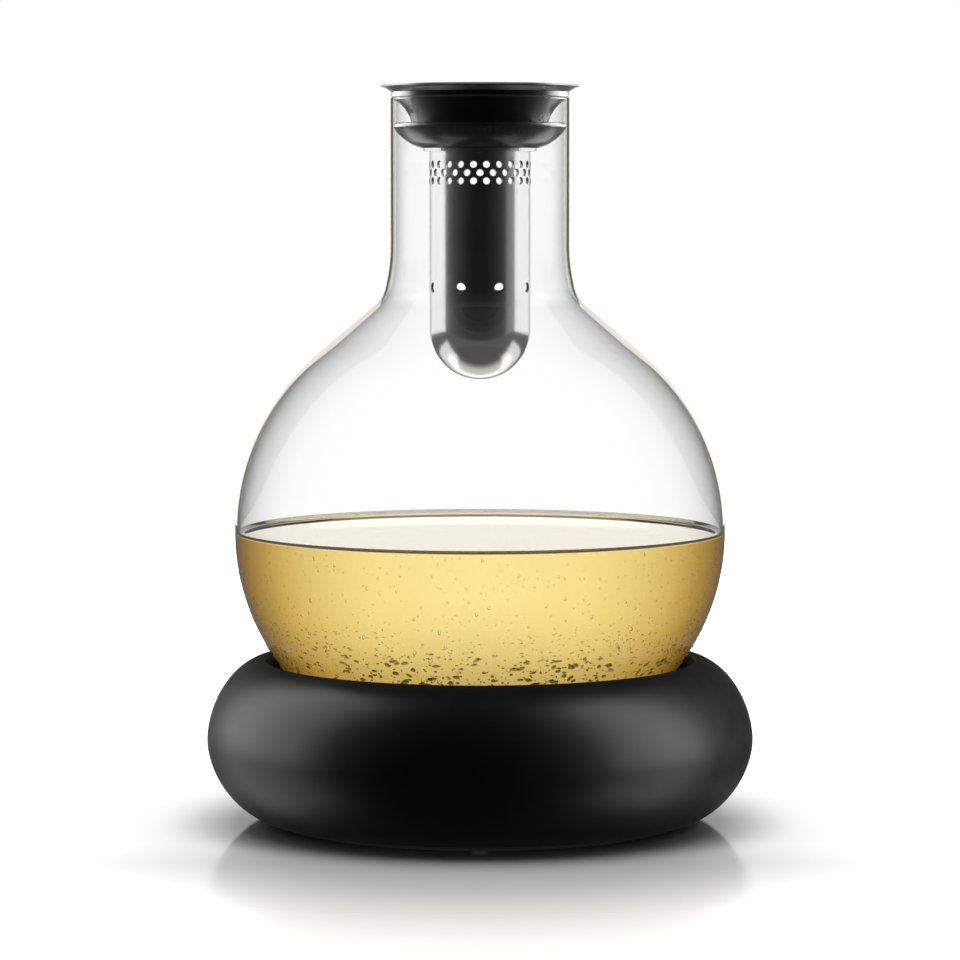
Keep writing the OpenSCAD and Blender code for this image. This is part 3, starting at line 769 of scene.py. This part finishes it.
def light_it(ground, shell, clear_pieces, seal, rim, tube_skin):
    """Each group of pieces has its own soft panels: white glass edges, bright steel sides and a satin base.
    The base's inner plastic has none and stays dark."""
    inside_base = [frame["nodes"][name] for name in ("base_pan", "well_liner")]
    lit_apart = clear_pieces + [ground, seal, shell, rim] + inside_base
    others = [o for o in bpy.context.scene.objects if o.type == "MESH" and o not in lit_apart]
    on_steel, on_glass = group("lit_steel", others), group("lit_glass", clear_pieces)
    on_seal, on_shell = group("lit_seal", [seal]), group("lit_shell", [shell])
    on_rim, on_floor = group("lit_rim", [rim]), group("lit_floor", [ground])
    on_tube = group("lit_tube", [tube_skin])
    beside, underneath, back_wall = 65, -0.9, 2.8

    under = softbox("rim_under", on_rim, 0, wide=2.0, radiance=0.12, height=underneath, distance=0, tall=2.0,
                    alone=True)
    under.rotation_euler = (math.pi, 0, 0)
    softbox("steel_back", on_steel, 0, wide=1.5, radiance=0.8)
    softbox("tube_low_back", on_tube, 0, wide=1.5, radiance=0.8, height=underneath, tall=1.1, alone=True)
    softbox("steel_front", on_steel, 108, wide=0.42, radiance=0.2)
    softbox("rim_front", on_rim, 180, wide=2.2, radiance=0.2)
    softbox("rim_back", on_rim, 0, wide=1.5, radiance=0.8)
    softbox("seal_back", on_seal, 0, wide=0.5, radiance=1.05)
    softbox("glass_back", on_glass, 0, wide=0.9, radiance=1.6, colour=(1, 0.95, 0.86))
    for side, hand in ((-1, "left"), (1, "right")):
        softbox("steel_" + hand, on_steel, side * beside, wide=1.25, radiance=1.4)
        softbox("tube_low_" + hand, on_tube, side * beside, wide=1.25, radiance=1.1, height=underneath,
                tall=1.1, alone=True)
        softbox("rim_" + hand, on_rim, side * beside, wide=1.25, radiance=1.4)
        softbox("seal_" + hand, on_seal, side * 52, wide=1.0, radiance=9.0)
        softbox("seal_low_" + hand, on_seal, side * 36, wide=0.7, radiance=2.0, height=-0.6, tall=0.6,
                alone=True)
    for hand, azimuth, wide, high, low in (("left", -78, 1.15, 11.0, 4.5), ("right", 102, 0.8, 16.5, 6.5)):
        softbox("shell_" + hand, on_shell, azimuth, wide, high, height=1.0, distance=1.0, tall=2.0)
        softbox("shell_low_" + hand, on_shell, azimuth, wide, low, height=-0.5, distance=1.0, tall=1.0,
                alone=True)
    top = softbox("floor_top", on_floor, 0, wide=1.6, radiance=2.2, height=1.6, distance=0)
    top.rotation_euler = (0, 0, 0)
    rear = softbox("floor_rear", on_floor, 0, wide=0.9, radiance=6.6, height=0.75, tall=0.6)
    look_at(rear, (0, 0, 0))
    softbox("floor_back", on_floor, 0, wide=12.0, radiance=0.55, height=back_wall / 2,
            distance=FLOOR_BACK - 10 * MM, tall=back_wall)


def settings():
    scene = bpy.context.scene
    scene.view_settings.view_transform = "Standard"
    scene.cycles.max_bounces = 32
    scene.cycles.transmission_bounces = 24
    scene.cycles.glossy_bounces = 12
    scene.cycles.transparent_max_bounces = 16


def main():
    settings()
    camera()
    world()
    shell_skin = satin_shell()
    inner_plastic = moulded_plastic("black_plastic", (0.008, 0.008, 0.0085), (0.013, 0.013, 0.014),
                                    rough=0.5, specular=0.2)
    core_skin = moulded_plastic("core_plastic", (0.04, 0.044, 0.052), (0.06, 0.066, 0.078),
                                rough=0.4, specular=0.4)
    rubber, sponge = silicone(), foam()
    screw = steel("screw_steel", (0.6, 0.6, 0.61), rough=0.3, brushed=False)
    brushed = steel("brushed_steel", (0.5, 0.5, 0.5), rough=0.32, brushed=True)
    polished = steel("polished_steel", (0.6, 0.6, 0.6), rough=0.19, brushed=False)
    clear, liquid = glass(), wine_liquid()

    shell = turned("base_shell", "base", shell_skin)
    keep("base_pan", inner_plastic)
    keep("well_liner", inner_plastic)
    keep("insulation_ring", sponge)
    keep("pan_screws", screw)
    keep("foot_ring", rubber)
    keep("core_dish", core_skin)
    keep("core_tray", core_skin)
    keep("coolant_gel", coolant())
    keep("filler_plug", core_skin)
    keep("rest_ring", rubber)
    carafe = turned("glass_carafe", "carafe", clear, passes=1)
    clear_pieces = [carafe, wine_body(liquid), dew(water())]
    rim = turned("pour_funnel", "stopper", brushed)
    keep("stopper_core", inner_plastic)
    seal = turned("stopper_seal", "stopper", rubber)
    keep("tube_grip_ring", rubber)
    tube_skin = tube(polished)
    light_it(floor(pale_floor()), shell, clear_pieces, seal, rim, tube_skin)


random.seed(7)
main()
